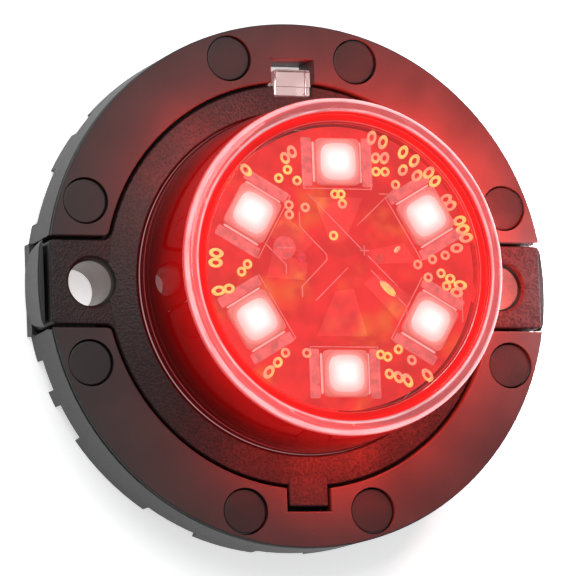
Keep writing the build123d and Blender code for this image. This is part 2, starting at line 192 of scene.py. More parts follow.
def squared_circle(profile, turns=96):
    """Surface whose outline morphs from a square with round corners to a circle.

    A profile point is (radius, height, exponent). At angle a its place is radius times the signed power
    2 / exponent of (cos a, sin a), which is a circle at exponent 2 and nears a square as the exponent grows.
    """
    angle = np.linspace(0, TURN, turns, endpoint=False)[:, None] + TURN / 8
    radius, height, exponent = np.asarray(profile, float).T
    along = np.sign(np.cos(angle)) * np.abs(np.cos(angle)) ** (2 / exponent)
    across = np.sign(np.sin(angle)) * np.abs(np.sin(angle)) ** (2 / exponent)
    return np.stack([radius * along, radius * across, height + 0 * angle], axis=-1)


def placed(points, x, y, z, angle):
    """Turns points by an angle about Z, then moves them."""
    c, s = np.cos(angle), np.sin(angle)
    turn = np.array([[c, s, 0], [-s, c, 0], [0, 0, 1]])
    return points @ turn + np.array([x, y, z])


def prism(outline, low, high):
    """Points and faces of a flat plate: an outline of (x, y) points, closed at the bottom and the top."""
    outline = np.asarray(outline, float)
    count = len(outline)
    points = np.concatenate([np.c_[outline, np.full(count, low)], np.c_[outline, np.full(count, high)]])
    sides = [[i, (i + 1) % count, count + (i + 1) % count, count + i] for i in range(count)]
    return points, sides + [list(range(count))[::-1], list(range(count, 2 * count))]


def together(shapes):
    """Joins shapes of (points, faces) into one list of points and one of faces."""
    points, faces, start = [], [], 0
    for some_points, some_faces in shapes:
        points.append(np.asarray(some_points, float).reshape(-1, 3))
        faces += [[start + corner for corner in face] for face in some_faces]
        start += len(points[-1])
    return np.concatenate(points), faces


def strip(path, width, low, high):
    """A flat printed line along a path, mitred at its bends.

    At each point the two edges lie half a width to either side, along the bisector of the neighbouring
    normals, stretched by one over the cosine of half the bend.
    """
    path = np.asarray(path, float)
    step = np.diff(path, axis=0)
    step /= np.linalg.norm(step, axis=1, keepdims=True)
    normal = np.c_[-step[:, 1], step[:, 0]]
    before, after = np.vstack([normal[:1], normal]), np.vstack([normal, normal[-1:]])
    middle = before + after
    middle /= np.sum(middle * before, axis=1, keepdims=True)
    edge = middle * width / 2
    return prism(np.vstack([path + edge, (path - edge)[::-1]]), low, high)


def ring(x, y, outer, inner, low, high, stretch=1.0, angle=0.0, turns=20):
    """Small flat ring with a rounded top edge: a closed profile carried round an ellipse."""
    crown = (high - low) / 2
    profile = [(inner, low), (outer, low), (outer, high - crown), (outer - crown, high)]
    profile += [(inner + crown, high), (inner, high - crown)]
    points = turned(profile, turns) * np.array([stretch, 1, 1])
    faces = quads_of(turns, len(profile), join_rows=True, join_columns=True)
    return placed(points.reshape(-1, 3), x, y, 0, angle), faces.tolist()


# ---------------------------------------------------------------- finishes
class Socket:
    """A shader socket that takes part in Python sums; each operator adds one Math or Vector Math node."""

    def __init__(self, finish, link):
        self.finish = finish
        self.link = link

    def sum_of(self, operation, first, second):
        vectors = [s for s in (first, second) if isinstance(s, Socket) and s.link.type in ("VECTOR", "RGBA")]
        kind = "ShaderNodeVectorMath" if vectors else "ShaderNodeMath"
        return self.finish.add(kind, {"operation": operation}, first, second)

    def __add__(self, other):
        return self.sum_of("ADD", self, other)

    def __radd__(self, other):
        return self.sum_of("ADD", other, self)

    def __sub__(self, other):
        return self.sum_of("SUBTRACT", self, other)

    def __mul__(self, other):
        return self.sum_of("MULTIPLY", self, other)

    def __truediv__(self, other):
        return self.sum_of("DIVIDE", self, other)

    def __pow__(self, other):
        return self.sum_of("POWER", self, other)

    def size(self):
        """The number without its sign."""
        return self.finish.add("ShaderNodeMath", {"operation": "ABSOLUTE"}, self)


class Finish:
    """A procedural finish: a node tree with one Principled shader."""

    def __init__(self, name):
        self.material = bpy.data.materials.new(name)
        self.material.use_nodes = True
        self.tree = self.material.node_tree
        self.tree.nodes.clear()
        self.output = self.tree.nodes.new("ShaderNodeOutputMaterial")

    def add(self, kind, settings=None, *values, out=0, **named):
        """Adds a node: its settings first, then values or sockets by place, or by name with _ for a blank."""
        node = self.tree.nodes.new(kind)
        for key, value in (settings or {}).items():
            if key == "stops":
                self.set_stops(node.color_ramp, value)
            else:
                setattr(node, key, value)
        for place, value in enumerate(values):
            self.feed(node.inputs[place], value)
        for key, value in named.items():
            self.feed(node.inputs[key.replace("_", " ")], value)
        return Socket(self, node.outputs[out])

    def set_stops(self, ramp, stops):
        """Gives a ramp its stops of (place, colour)."""
        while len(ramp.elements) > 1:
            ramp.elements.remove(ramp.elements[-1])
        for index, (place, colour) in enumerate(stops):
            element = ramp.elements[0] if index == 0 else ramp.elements.new(place)
            element.position = place
            element.color = (*colour, 1.0)

    def feed(self, socket, value):
        """Links a socket, or sets its value."""
        if isinstance(value, Socket):
            self.tree.links.new(value.link, socket)
        elif socket.type == "RGBA":
            socket.default_value = (*value, 1.0)
        elif socket.type == "VECTOR" and isinstance(value, (int, float)):
            socket.default_value = (value,) * 3
        else:
            socket.default_value = value

    def place(self):
        """Object coordinates, which are the frame's own."""
        return self.add("ShaderNodeTexCoord", out="Object")

    def from_middle(self):
        """Distance from a small part's middle, 1 at its sides: the cube root of |x| cubed plus |y| cubed."""
        x, y, z = self.parts(self.add("ShaderNodeAttribute", {"attribute_name": "local"}, out="Vector"))
        return (x.size() ** 3.0 + y.size() ** 3.0) ** 0.3333

    def parts(self, vector):
        """A vector's three numbers."""
        node = self.tree.nodes.new("ShaderNodeSeparateXYZ")
        self.feed(node.inputs[0], vector)
        return [Socket(self, output) for output in node.outputs]

    def noise(self, vector, size, detail=3.0, rough=0.55):
        """Noise from 0 to 1 with features of a size in millimetres."""
        values = {"Vector": vector, "Scale": 1 / (size * MM), "Detail": detail, "Roughness": rough}
        return self.add("ShaderNodeTexNoise", {}, out="Fac", **values)

    def cells(self, vector, size):
        """Distance to the nearest of scattered points, in cells of a size in millimetres."""
        settings = {"feature": "SMOOTH_F1"}
        values = {"Vector": vector, "Scale": 1 / (size * MM), "Smoothness": 0.4}
        return self.add("ShaderNodeTexVoronoi", settings, **values)

    def tool_rings(self, where, pitch):
        """A wave along the axis, one turn for each pitch in millimetres."""
        return self.add("ShaderNodeMath", {"operation": "SINE"}, self.parts(where)[2] * (TURN / (pitch * MM)))

    def blend(self, share, first, second):
        """Colour between two colours."""
        settings = {"data_type": "RGBA"}
        node = self.add("ShaderNodeMix", settings, share, out=2).link.node
        self.feed(node.inputs[6], first)
        self.feed(node.inputs[7], second)
        return Socket(self, node.outputs[2])

    def clamp(self, value, low, high):
        """Maps a range of numbers onto 0 to 1, smoothly at both ends."""
        settings = {"interpolation_type": "SMOOTHSTEP"}
        return self.add("ShaderNodeMapRange", settings, value, low, high, 0.0, 1.0)

    def bump(self, height, depth, strength=1.0):
        """Surface relief: height is 0 to 1 and depth is in millimetres."""
        return self.add("ShaderNodeBump", {}, Height=height, Distance=depth * MM, Strength=strength)

    def shade(self, **values):
        """The Principled shader, joined to the output."""
        shader = self.add("ShaderNodeBsdfPrincipled", {}, **values)
        self.tree.links.new(shader.link, self.output.inputs["Surface"])
        return self.material


def moulded_plastic(name, dark, light, rough, grain, depth):
    """Moulded plastic with a fine spark-eroded grain, and a slow change of tone and gloss over the part."""
    f = Finish(name)
    where = f.place()
    slow = f.noise(where, 6.0, 2.0)
    fine = f.noise(where, grain, 4.0, 0.6)
    tone = f.clamp(slow * 0.7 + fine * 0.3, 0.3, 0.7)
    gloss = rough + (fine - 0.5) * 0.16 + (slow - 0.5) * 0.08
    relief = f.bump(fine, depth)
    return f.shade(Base_Color=f.blend(tone, dark, light), Roughness=gloss, Normal=relief)


def grained_plastic(name, dark, light):
    """Black housing plastic with a leather grain: rounded cells with smaller creases, smoother in patches."""
    f = Finish(name)
    where = f.place()
    warp = f.add("ShaderNodeTexNoise", {}, Vector=where, Scale=1 / (0.4 * MM), Detail=2.0, out="Color")
    bent = where + (warp - 0.5) * (0.22 * MM)
    cell = f.cells(bent, 0.24)
    crease = f.noise(where, 0.12, 3.0, 0.65)
    worn = f.clamp(f.noise(where, 9.0, 1.0), 0.35, 0.65)
    height = cell * 0.75 + crease * 0.5
    tone = f.clamp(height, 0.25, 0.85)
    relief = f.bump(height, 0.06, 0.8)
    gloss = 0.56 + (crease - 0.5) * 0.22 - worn * 0.06
    values = {"Roughness": gloss, "Specular IOR Level": 0.35}
    return f.shade(Base_Color=f.blend(tone, dark, light), Normal=relief, **values)


def turned_metal(name, colour, rough, pitch=0.12):
    """Machined metal: fine tool rings across the axis, small scratches and a slow change of tone."""
    f = Finish(name)
    where = f.place()
    rings = f.tool_rings(where, pitch)
    scratch = f.noise(where * (1.0, 1.0, 6.0), 0.3, 4.0, 0.7)
    slow = f.noise(where, 2.5, 2.0)
    dull = tuple(0.72 * c for c in colour)
    relief = f.bump(rings * 0.5 + scratch, 0.006, 0.6)
    gloss = rough + (scratch - 0.5) * 0.25
    return f.shade(Base_Color=f.blend(slow, dull, colour), Metallic=1.0, Roughness=gloss, Normal=relief)


def lit_sink(name, colour, glow):
    """Black anodised heat sink with the LEDs' red light painted in as an emitted glow, brightest beside the
    LED board.
    """
    f = Finish(name)
    where = f.place()
    rings = f.tool_rings(where, 0.2)
    slow = f.noise(where, 4.0, 2.0)
    height = f.parts(where)[2]
    # Painted light: the glow is strongest at the board's front and fades over six millimetres below it.
    near = f.clamp(height, (board_front - 6.0) * MM, board_front * MM) * (0.5 + slow)
    painted_glow = f.blend(near, tuple(0.1 * g for g in glow), glow)
    tone = f.blend(slow, tuple(0.6 * c for c in colour), colour)
    values = {"Normal": f.bump(rings, 0.006, 0.6), "Emission Color": painted_glow, "Emission Strength": 1.0}
    return f.shade(Base_Color=tone, Roughness=0.5 + slow * 0.1, **values)


def rubber(name, colour):
    """Dull rubber with a powdery bloom."""
    f = Finish(name)
    where = f.place()
    bloom = f.noise(where, 0.8, 4.0)
    pale = tuple(min(1.0, 2.2 * c + 0.01) for c in colour)
    relief = f.bump(f.noise(where, 0.15, 3.0), 0.01)
    tone = f.blend(bloom, colour, pale)
    return f.shade(Base_Color=tone, Roughness=0.75 + (bloom - 0.5) * 0.2, Normal=relief)


def circuit_board(name, mask, pour, glow):
    """Solder mask over a glass weave with the LEDs' red light painted in, in its dark red base colour and an
    emitted glow; warmer and darker in slow patches.
    """
    f = Finish(name)
    where = f.place()
    weave = f.noise(where, 0.25, 2.0)
    slow = f.noise(where, 5.5, 2.0)
    warm = f.clamp(slow, 0.5, 0.7)
    dark = f.clamp(f.noise(where, 3.2, 3.0), 0.35, 0.62)
    colour = f.blend(warm, mask, pour)
    # Painted light: the emitted glow stands for the LEDs' red light on the board.
    painted_glow = f.blend(warm, glow, tuple(g * k for g, k in zip(glow, (0.95, 4.0, 1.1))))
    painted_glow = f.blend(dark, tuple(0.74 * g for g in glow), painted_glow)
    relief = f.bump(weave, 0.01)
    gloss = 0.42 + weave * 0.15
    values = {"Emission Color": painted_glow, "Emission Strength": 1.0, "Specular IOR Level": 0.1}
    return f.shade(Base_Color=colour, Roughness=gloss, Normal=relief, **values)


def clear_plastic(name, tint, rough):
    """Clear polycarbonate with faint flow waves, and a faint emitted glow that paints in the lamp's light."""
    f = Finish(name)
    where = f.place()
    relief = f.bump(f.noise(where, 3.0, 1.0), 0.01, 0.4)
    values = {"Base Color": tint, "Roughness": rough, "IOR": 1.54, "Transmission Weight": 1.0}
    return f.shade(Normal=relief, Emission_Color=(0.5, 0.26, 0.25), Emission_Strength=0.1, **values)


def lens_with_painted_glow(name, outer_glow, inner_glow, rim_glow, edge_glow):
    """Clear cup with its lamps' light in the wall painted in as an emitted glow: dark red low down, pink at
    the rim.

    The painted glow rises with height, faintly outside and strongly inside the wall. Over the last half
    millimetre, outside the window, it turns to the rim's colours, palest in two painted highlight lines at
    the rim's outer and inner edges, in fine painted streaks round it and at grazing angles. Slow noise makes
    it uneven, as the six lamps do. A thin painted line of light glows at the foot, where the wall meets the
    housing. The wall's red tint and the rim's pink tint are painted light too. The window stays clear.
    """
    f = Finish(name)
    where = f.place()
    x, y, z = f.parts(where)
    radius = (x * x + y * y) ** 0.5
    uneven = 0.55 + f.noise(where, 5.0, 2.0) * 0.9
    wall = f.clamp(radius, 13.35 * MM, 13.9 * MM)
    inside = f.clamp(radius, 15.4 * MM, 15.0 * MM)
    rise = f.clamp(z, (plate_front + 1.5) * MM, (lens_front - 0.8) * MM)
    rim = f.clamp(z, (lens_front - 0.6) * MM, (lens_front - 0.3) * MM)
    rim = rim * f.clamp(radius, 14.35 * MM, 14.6 * MM)
    # Painted highlights: two pale lines at the rim's outer and inner edges.
    lines = f.clamp(radius, 15.2 * MM, 15.4 * MM) + f.clamp(radius, 14.8 * MM, 14.6 * MM)
    # Painted line of light at the foot of the wall.
    foot = f.clamp(z, (plate_front + 0.35) * MM, (plate_front + 0.45) * MM)
    foot = foot * f.clamp(z, (plate_front + 0.75) * MM, (plate_front + 0.6) * MM)
    # Painted sheen: the rim's glow pales at grazing angles.
    facing = f.add("ShaderNodeLayerWeight", {}, 0.35, out="Facing")
    turn = 1.2 * MM
    around = f.add("ShaderNodeCombineXYZ", {}, x / radius * turn, y / radius * turn, radius)
    # Painted streaks of highlight round the rim.
    streak = f.noise(around, 0.22, 3.0, 0.6)
    high = f.blend(inside, outer_glow, inner_glow)
    low = tuple(0.2 * c for c in outer_glow)
    glow = f.blend(rise * uneven, low, high)
    glow = f.blend(foot * uneven * 0.4, glow, edge_glow)
    edge = f.clamp(lines * 0.45 + facing * 0.3 + streak * 0.9, 0.5, 1.1)
    glow = f.blend(rim, glow, f.blend(edge, rim_glow, edge_glow))
    glow = f.blend(wall, (0.004, 0.0004, 0.0004), glow)
    # Painted light: the red wall tint and the pink rim tint stand for the lamps' light in the clear plastic.
    tint = f.blend(wall, (1.0, 0.97, 0.97), f.blend(rim, (0.4, 0.03, 0.03), (0.95, 0.45, 0.45)))
    relief = f.bump(f.noise(where, 3.0, 1.0), 0.01, 0.4)
    values = {"Base Color": tint, "Roughness": 0.0, "IOR": 1.5, "Transmission Weight": 1.0}
    return f.shade(Normal=relief, Emission_Color=glow, Emission_Strength=1.0, **values)


def led_window(name, strength):
    """Lit dome over the chips: white-hot in the middle, pink towards its edge."""
    f = Finish(name)
    square = f.from_middle()
    stops = [(0.0, (1.0, 0.97, 0.96)), (0.3, (1.0, 0.95, 0.93)), (0.55, (1.0, 0.78, 0.75))]
    stops += [(0.8, (1.0, 0.55, 0.52)), (1.0, (0.96, 0.4, 0.37))]
    colour = f.add("ShaderNodeValToRGB", {"stops": stops}, square)
    values = {"Emission Color": colour, "Emission Strength": strength}
    return f.shade(Base_Color=(0.3, 0.1, 0.1), Roughness=0.3, **values)


def led_ceramic(name):
    """White LED package with its own light painted in: a dark red base colour and an emitted pink glow,
    brightest next to the dome.
    """
    f = Finish(name)
    square = f.from_middle()
    grain = f.noise(f.place(), 0.3, 3.0)
    stops = [(0.0, (1.0, 0.5, 0.47)), (0.78, (0.95, 0.38, 0.35))]
    stops += [(0.9, (0.88, 0.24, 0.21)), (1.0, (0.72, 0.12, 0.1))]
    colour = f.add("ShaderNodeValToRGB", {"stops": stops}, square + (grain - 0.5) * 0.1)
    values = {"Emission Color": colour, "Emission Strength": 0.8}
    return f.shade(Base_Color=(0.3, 0.06, 0.055), Roughness=0.45, **values)


def lit_metal(name, colour, glow):
    """Plated metal with the LEDs' red light painted in as an emitted glow, patchy in strength, with a slow
    change to a pinker glow.
    """
    f = Finish(name)
    slow = f.clamp(f.noise(f.place(), 3.4, 2.0), 0.42, 0.58)
    patchy = f.noise(f.place(), 0.35, 2.0)
    painted_glow = f.blend(slow, glow, (glow[0], glow[1] * 0.4, glow[2] * 1.3)) * (0.55 + patchy * 0.9)
    values = {"Emission Color": painted_glow, "Emission Strength": 1.0}
    return f.shade(Base_Color=colour, Metallic=0.6, Roughness=0.45, **values)


def ink_with_painted_glow(name, glow):
    """Thin printed ink with the LEDs' red light painted in as an emitted glow, uneven in strength."""
    f = Finish(name)
    patchy = f.clamp(f.noise(f.place(), 0.9, 3.0), 0.25, 0.7)
    faint = tuple(0.55 * g for g in glow)
    painted_glow = f.blend(patchy, faint, glow)
    return f.shade(Base_Color=(0.2, 0.03, 0.03), Roughness=0.6, Emission_Color=painted_glow, Emission_Strength=1.0)


# For each finish: what makes it, and that maker's own values.
# Painted light on the lens rim: its glow colour and the colour of its pale highlight lines.
rim_glow, edge_glow = (0.42, 0.1, 0.105), (0.86, 0.55, 0.57)
recipes = {
    "ring_plastic": (moulded_plastic, (0.006, 0.006, 0.0062), (0.012, 0.0115, 0.0115), 0.5, 0.35, 0.012),
    "plate_plastic": (moulded_plastic, (0.016, 0.0155, 0.016), (0.025, 0.024, 0.024), 0.58, 0.2, 0.012),
    "housing_plastic": (grained_plastic, (0.003, 0.0026, 0.0027), (0.013, 0.0105, 0.011)),
    "bush_steel": (turned_metal, (0.2, 0.165, 0.15), 0.32),
    "lens_clear": (lens_with_painted_glow, (0.1, 0.002, 0.002), (0.5, 0.005, 0.004), rim_glow, edge_glow),
    "seal_rubber": (rubber, (0.016, 0.015, 0.015)),
    "led_board_mask": (circuit_board, (0.12, 0.004, 0.004), (0.12, 0.012, 0.004), (0.84, 0.026, 0.023)),
    "led_package_white": (led_ceramic,),
    "led_dome_clear": (led_window, 1.1),
    "thermal_pad_grey": (rubber, (0.22, 0.22, 0.23)),
    "sink_aluminium": (lit_sink, (0.02, 0.018, 0.018), (0.35, 0.004, 0.003)),
    "driver_mask": (moulded_plastic, (0.01, 0.06, 0.03), (0.02, 0.1, 0.05), 0.4, 0.3, 0.01),
    "screw_steel": (turned_metal, (0.6, 0.6, 0.61), 0.32),
    # Painted light: the pins' dark red base colour and red glow stand for the LEDs' light, as on the board
    # round them.
    "pin_brass": (lit_metal, (0.14, 0.02, 0.015), (0.7, 0.045, 0.035)),
    "sleeve_white": (moulded_plastic, (0.7, 0.69, 0.66), (0.8, 0.79, 0.77), 0.5, 0.3, 0.006),
    "component_black": (moulded_plastic, (0.02, 0.02, 0.02), (0.04, 0.04, 0.04), 0.5, 0.15, 0.01),
    "capacitor_can": (turned_metal, (0.7, 0.7, 0.71), 0.35, 0.3),
    "cover_plastic": (moulded_plastic, (0.02, 0.02, 0.02), (0.035, 0.034, 0.034), 0.55, 0.3, 0.015),
    "gasket_foam": (rubber, (0.03, 0.03, 0.031)),
}
finishes = {name: make(name, *values) for name, (make, *values) in recipes.items()}
# The board's plated holes, printed ink and copper areas carry the LEDs' light as a painted emitted glow.
via_gold = lit_metal("via_gold", (0.3, 0.18, 0.07), (0.92, 0.5, 0.12))
board_ink = ink_with_painted_glow("board_ink", (0.9, 0.16, 0.15))
pad_ink = ink_with_painted_glow("pad_ink", (0.88, 0.12, 0.11))
faint_ink = ink_with_painted_glow("faint_ink", (0.9, 0.055, 0.05))
pour_glow = circuit_board("pour_glow", (0.15, 0.008, 0.008), (0.15, 0.02, 0.008), (0.9, 0.045, 0.04))


# ---------------------------------------------------------------- CAD nodes that are shown as they are
for row in frame["record"]["subparts"]:
    for place in frame["nodes"][row["node"]].material_slots:
        place.material = finishes[row["material_slot"]]


# ---------------------------------------------------------------- lens
def lens_profile():
    """Outline of the clear cup's wall, window and flange, as (radius, height), going round the solid once."""
    inner = lens_radius - lens_wall
    rim = lens_radius - lens_draft
    window = rim - lens_wall
    corners = [(inner, lens_foot), (flange_radius, lens_foot), (flange_radius, flange_front)]
    radii = [0.1, 0.1, 0.1]
    corners += [(lens_radius, flange_front), (lens_radius, plate_front)]
    radii += [0, 0]
    corners += [(rim, lens_front), (window, lens_front)]
    radii += [rim_rounding, 0.3]
    corners += [(window, window_front), (0, window_front), (0, window_back)]
    radii += [0.12, 0, 0]
    rib_out, rib_back = rib_radius + rib_width, window_back - rib_depth
    corners += [(rib_radius, window_back), (rib_radius, rib_back)]
    radii += [0, 0.05]
    corners += [(rib_out, rib_back), (rib_out, window_back)]
    radii += [0.05, 0]
    corners += [(window, window_back), (inner, plate_front)]
    radii += [0.25, 0]
    return rounded(corners, radii, 9)


clear = "lens_clear"
lens_cup = turned_piece("lens_cup", lens_profile(), finishes[clear], clear, ["lens"], crease=25.0)
lens_cup.visible_shadow = False


def lens_key():
    """Clear tab at twelve o'clock: an outline along Y with one step, carried across X, lower on its right.

    Towards its two ends the outline shrinks about its own middle, which rounds them and closes them.
    """
    back, foot = key_end - key_length, flange_front - 0.6
    step, top = back + key_ledge, plate_front + key_rise
    low = top - key_step
    outline = [(back, foot), (key_end, foot), (key_end, top), (step, top), (step, low), (back, low)]
    section = rounded(outline, [0.05, 0.15, 0.15, 0.05, 0.05, 0.1], 5)
    middle = section.mean(axis=0)
    share = np.array([-1, -1, -0.97, -0.9, 0.15, 0.22, 0.9, 0.97, 1, 1])[:, None]
    size = np.array([0, 0.93, 0.98, 1, 1, 1, 1, 0.98, 0.93, 0])[:, None]
    drop = np.array([0, 0, 0, 0, 0, 1, 1, 1, 1, 1])[:, None] * key_side_step
    y = middle[0] + (section[:, 0] - middle[0]) * size
    z = middle[1] + (section[:, 1] - middle[1]) * size
    z = z - drop * (z > plate_front - 0.4)
    points = np.stack([share * key_half_width + 0 * y, y, z], axis=-1)
    faces = quads_of(len(share), len(section), join_columns=True)
    return points, faces


# The key's pink tint is painted red light, like its faint painted glow.
frosted = clear_plastic("lens_key_clear", (0.82, 0.62, 0.6), 0.12)
key = piece("lens_key", *lens_key(), frosted, clear, ["lens"], crease=30.0)
key.visible_shadow = False


# ---------------------------------------------------------------- LEDs
def led_angle(index):
    """Direction of one LED, counted from twelve o'clock."""
    return TURN / 4 + index * TURN / led_count


def led_body_profile():
    """Square package with soft edges and a round step up to its dome: (radius, height, exponent)."""
    high = package_height
    profile = [(0, 0, 2), (package_half, 0, 9), (package_half, high - 0.1, 9)]
    profile += [(package_half - 0.03, high - 0.03, 9), (package_half - 0.1, high, 9)]
    profile += [(dome_radius + 0.2, high, 5), (dome_radius + 0.05, high, 3.4)]
    profile += [(dome_radius, high - 0.06, 3.2), (0, high - 0.06, 2)]
    return profile


def led_dome_profile():
    """Low dome with a rounded-square foot: height falls with the square of the radius."""
    rise = dome_front - board_front - package_height
    radius = np.linspace(1, 0, 12) * (dome_radius - 0.02)
    height = package_height + rise * (1 - (radius / dome_radius) ** 2)
    exponent = 2 + 1.4 * (radius / dome_radius)
    foot = [(0, package_height - 0.05, 2), (dome_radius - 0.02, package_height - 0.05, 3.4)]
    return foot + list(zip(radius, height, exponent))


def beside_led(index, points):
    """Moves points from a LED's own place, with +Y outwards, to its place on the board."""
    angle = led_angle(index)
    x, y = led_circle * np.cos(angle), led_circle * np.sin(angle)
    return placed(points, x, y, board_front, angle - TURN / 4)


# The two parts of a LED: piece, CAD node that it stands for, profile, half width and slot.
led_parts = [("led_body", "led_package", led_body_profile(), package_half, "led_package_white")]
led_parts += [("led_window", "led_dome", led_dome_profile(), dome_radius, "led_dome_clear")]
for index in range(led_count):
    for name, node, profile, half, slot in led_parts:
        shape = squared_circle(profile)
        faces = quads_of(*shape.shape[:2], join_rows=True)
        points = shape.reshape(-1, 3)
        label, stands_for = f"{name}_{index + 1}", [f"{node}_{index + 1}"]
        spot = beside_led(index, points)
        piece(label, spot, faces, finishes[slot], slot, stands_for, local=points / half)


# ---------------------------------------------------------------- LED board's artwork
pour_height = 0.02
ink_height = 0.045
via_height = 0.07
via_outer, via_inner = 0.46, 0.21

# Rows of plated holes: first hole (x, y), step to the next (x, y), number of holes.
via_rows = [
    ((-5.8, 8.3), (0.9, 0.8), 2),
    ((-5.1, 10.2), (0.7, 0.6), 2),
    ((-4.0, 8.1), (0.9, 0.0), 1),
    ((-4.9, 5.8), (0.0, -0.9), 2),
    ((-3.3, 5.6), (1.0, 0.0), 1),
    ((-0.3, 6.9), (0.6, 0.0), 2),
    ((0.4, 6.0), (1.0, 0.0), 1),
    ((-0.6, 3.0), (1.0, 0.0), 1),
    ((3.6, 12.3), (1.1, -0.4), 2),
    ((3.9, 10.4), (0.9, 0.0), 2),
    ((3.9, 9.1), (0.9, 0.0), 2),
    ((6.7, 11.0), (1.1, -0.8), 2),
    ((6.6, 9.3), (1.4, -0.5), 2),
    ((5.8, 7.9), (1.0, 0.0), 1),
    ((9.2, 9.1), (0.6, -0.8), 2),
    ((10.8, 6.6), (0.4, -0.6), 2),
    ((12.1, 4.6), (0.3, -0.8), 3),
    ((11.7, 2.0), (-1.2, -0.7), 2),
    ((9.2, 0.9), (-1.5, -0.5), 2),
    ((8.7, -0.8), (1.3, 0.4), 2),
    ((10.9, -0.9), (-0.4, -0.7), 2),
    ((11.9, -1.5), (-0.4, -0.7), 2),
    ((-9.2, 0.2), (-0.6, -0.7), 2),
    ((-12.2, 1.2), (-0.1, -0.9), 2),
    ((-12.1, -2.3), (1.0, 0.2), 2),
    ((-6.6, -8.9), (-0.9, -0.9), 2),
    ((-9.0, 9.0), (1.0, 0.6), 1),
    ((-3.7, -8.0), (-2.1, 0.0), 2),
    ((3.6, -8.1), (0.7, -0.2), 2),
    ((5.4, -7.6), (1.3, -1.0), 2),
    ((4.4, -9.9), (0.9, -0.3), 3),
    ((8.2, -10.0), (0.9, 0.7), 1),
]

# Printed lines: each a path of (x, y) points with bends of 45 degrees.
ink_paths = [
    [(-3.9, 5.2), (-3.9, 3.8), (-1.35, 1.2), (-1.35, 0.7), (-3.9, -1.8), (-3.9, -2.8)],
    [(-3.0, 6.9), (2.2, 1.7)],
    [(2.7, 1.2), (5.6, -1.7)],
    [(0.7, 0.0), (-2.6, -3.1)],
    [(1.8, 4.0), (5.9, 7.7)],
    [(4.1, 7.0), (5.6, 7.0), (5.6, 8.2)],
    [(3.0, -0.2), (6.4, -3.6), (6.4, -5.4), (5.4, -6.4)],
    [(-7.4, 2.2), (-5.4, 0.2), (-5.4, -0.6)],
    [(9.9, -2.6), (12.0, -2.6), (12.0, -5.0)],
]

# Copper areas under the mask, as outlines with 45 degree corners.
pours = [
    [(-2.4, 6.6), (2.4, 6.6), (0.6, 2.6), (-0.9, 2.2)],
    [(6.4, 2.4), (7.6, 0.6), (3.4, 0.4), (2.6, 1.6)],
    [(-6.6, 1.4), (-7.4, -1.0), (-3.6, -1.2), (-3.2, 0.4)],
    [(-0.6, -2.2), (1.2, -2.0), (2.4, -6.4), (-2.6, -6.4)],
    [(2.2, -1.4), (3.6, -0.6), (7.0, -2.6), (5.6, -5.0)],
    [(-2.6, 2.4), (-3.8, 1.2), (-6.8, 2.8), (-5.4, 5.0)],
]

plus_place = (2.4, 1.65)
minus_place = (-5.5, 1.8)
line_width = 0.09
plus_width = 0.12
minus_width = 0.14


def via_places():
    """Every plated hole's place, row by row."""
    return [np.array(first) + np.array(step) * k for first, step, count in via_rows for k in range(count)]


def plated_hole(x, y):
    """A plated hole; near the board's edge it is a slot that points outwards."""
    reach = np.hypot(x, y)
    stretch = 1 + 0.55 * np.clip((reach - 10.6) / 1.6, 0, 1)
    turn = np.arctan2(y, x)
    return ring(x, y, via_outer, via_inner, board_front, board_front + via_height, stretch, turn)


def led_frame(index):
    """Printed frame round one LED's solder pads, open on its outer side."""
    half = package_half + 1.15
    path = [(-half, 1.6), (-half, -package_half - 0.3), (half, -package_half - 0.3), (half, 1.6)]
    points, faces = strip(path, line_width, 0, ink_height)
    return beside_led(index, points), faces


def led_pads(index, near, far, length, high):
    """Two copper strips beside one LED, with rounded corners."""
    shapes = []
    for side in (-1, 1):
        corners = [(side * near, -length), (side * far, -length), (side * far, length), (side * near, length)]
        points, faces = prism(rounded(corners[::side], [0.15] * 4, 4), 0, high)
        shapes.append((beside_led(index, points), faces))
    return together(shapes)


def polarity_marks():
    """Plus and minus signs."""
    low, high = board_front, board_front + ink_height
    half = 0.45
    (plus_x, plus_y), (minus_x, minus_y) = plus_place, minus_place
    shapes = [strip([(plus_x - half, plus_y), (plus_x + half, plus_y)], plus_width, low, high)]
    shapes.append(strip([(plus_x, plus_y - half), (plus_x, plus_y + half)], plus_width, low, high + 0.005))
    shapes.append(strip([(minus_x - 0.8, minus_y), (minus_x + 0.8, minus_y)], minus_width, low, high))
    return together(shapes)


def solder_blob(x, y, length, width, angle, high):
    """A drop of solder over two plated holes: a flat oval whose top falls away like a dome."""
    share = np.linspace(1, 0, 7)
    height = high * (1 - share**2)
    profile = np.r_[[[0, 0, 2], [1, 0, 2]], np.c_[share, height, 0 * share + 2][1:]]
    shape = squared_circle(profile, 28) * np.array([length, width, 1])
    faces = quads_of(*shape.shape[:2], join_rows=True)
    return placed(shape.reshape(-1, 3), x, y, board_front, angle), faces.tolist()


leds = range(led_count)
vias = [plated_hole(x, y) for x, y in via_places()]
blobs = [solder_blob(4.6, -1.9, 1.15, 0.42, -0.75, 0.09), solder_blob(5.7, 1.8, 0.45, 0.25, 0.8, 0.09)]
piece("board_vias", *together(vias + blobs), via_gold, "pin_brass")
lines = [strip(path, line_width, board_front, board_front + ink_height) for path in ink_paths]
piece("board_lines", *together(lines), board_ink, "led_board_mask")
piece("board_led_frames", *together([led_frame(i) for i in leds]), board_ink, "led_board_mask")
pads = [led_pads(i, package_half + 0.3, package_half + 1.3, 2.3, pour_height) for i in leds]
piece("board_led_copper", *together(pads), pad_ink, "led_board_mask")
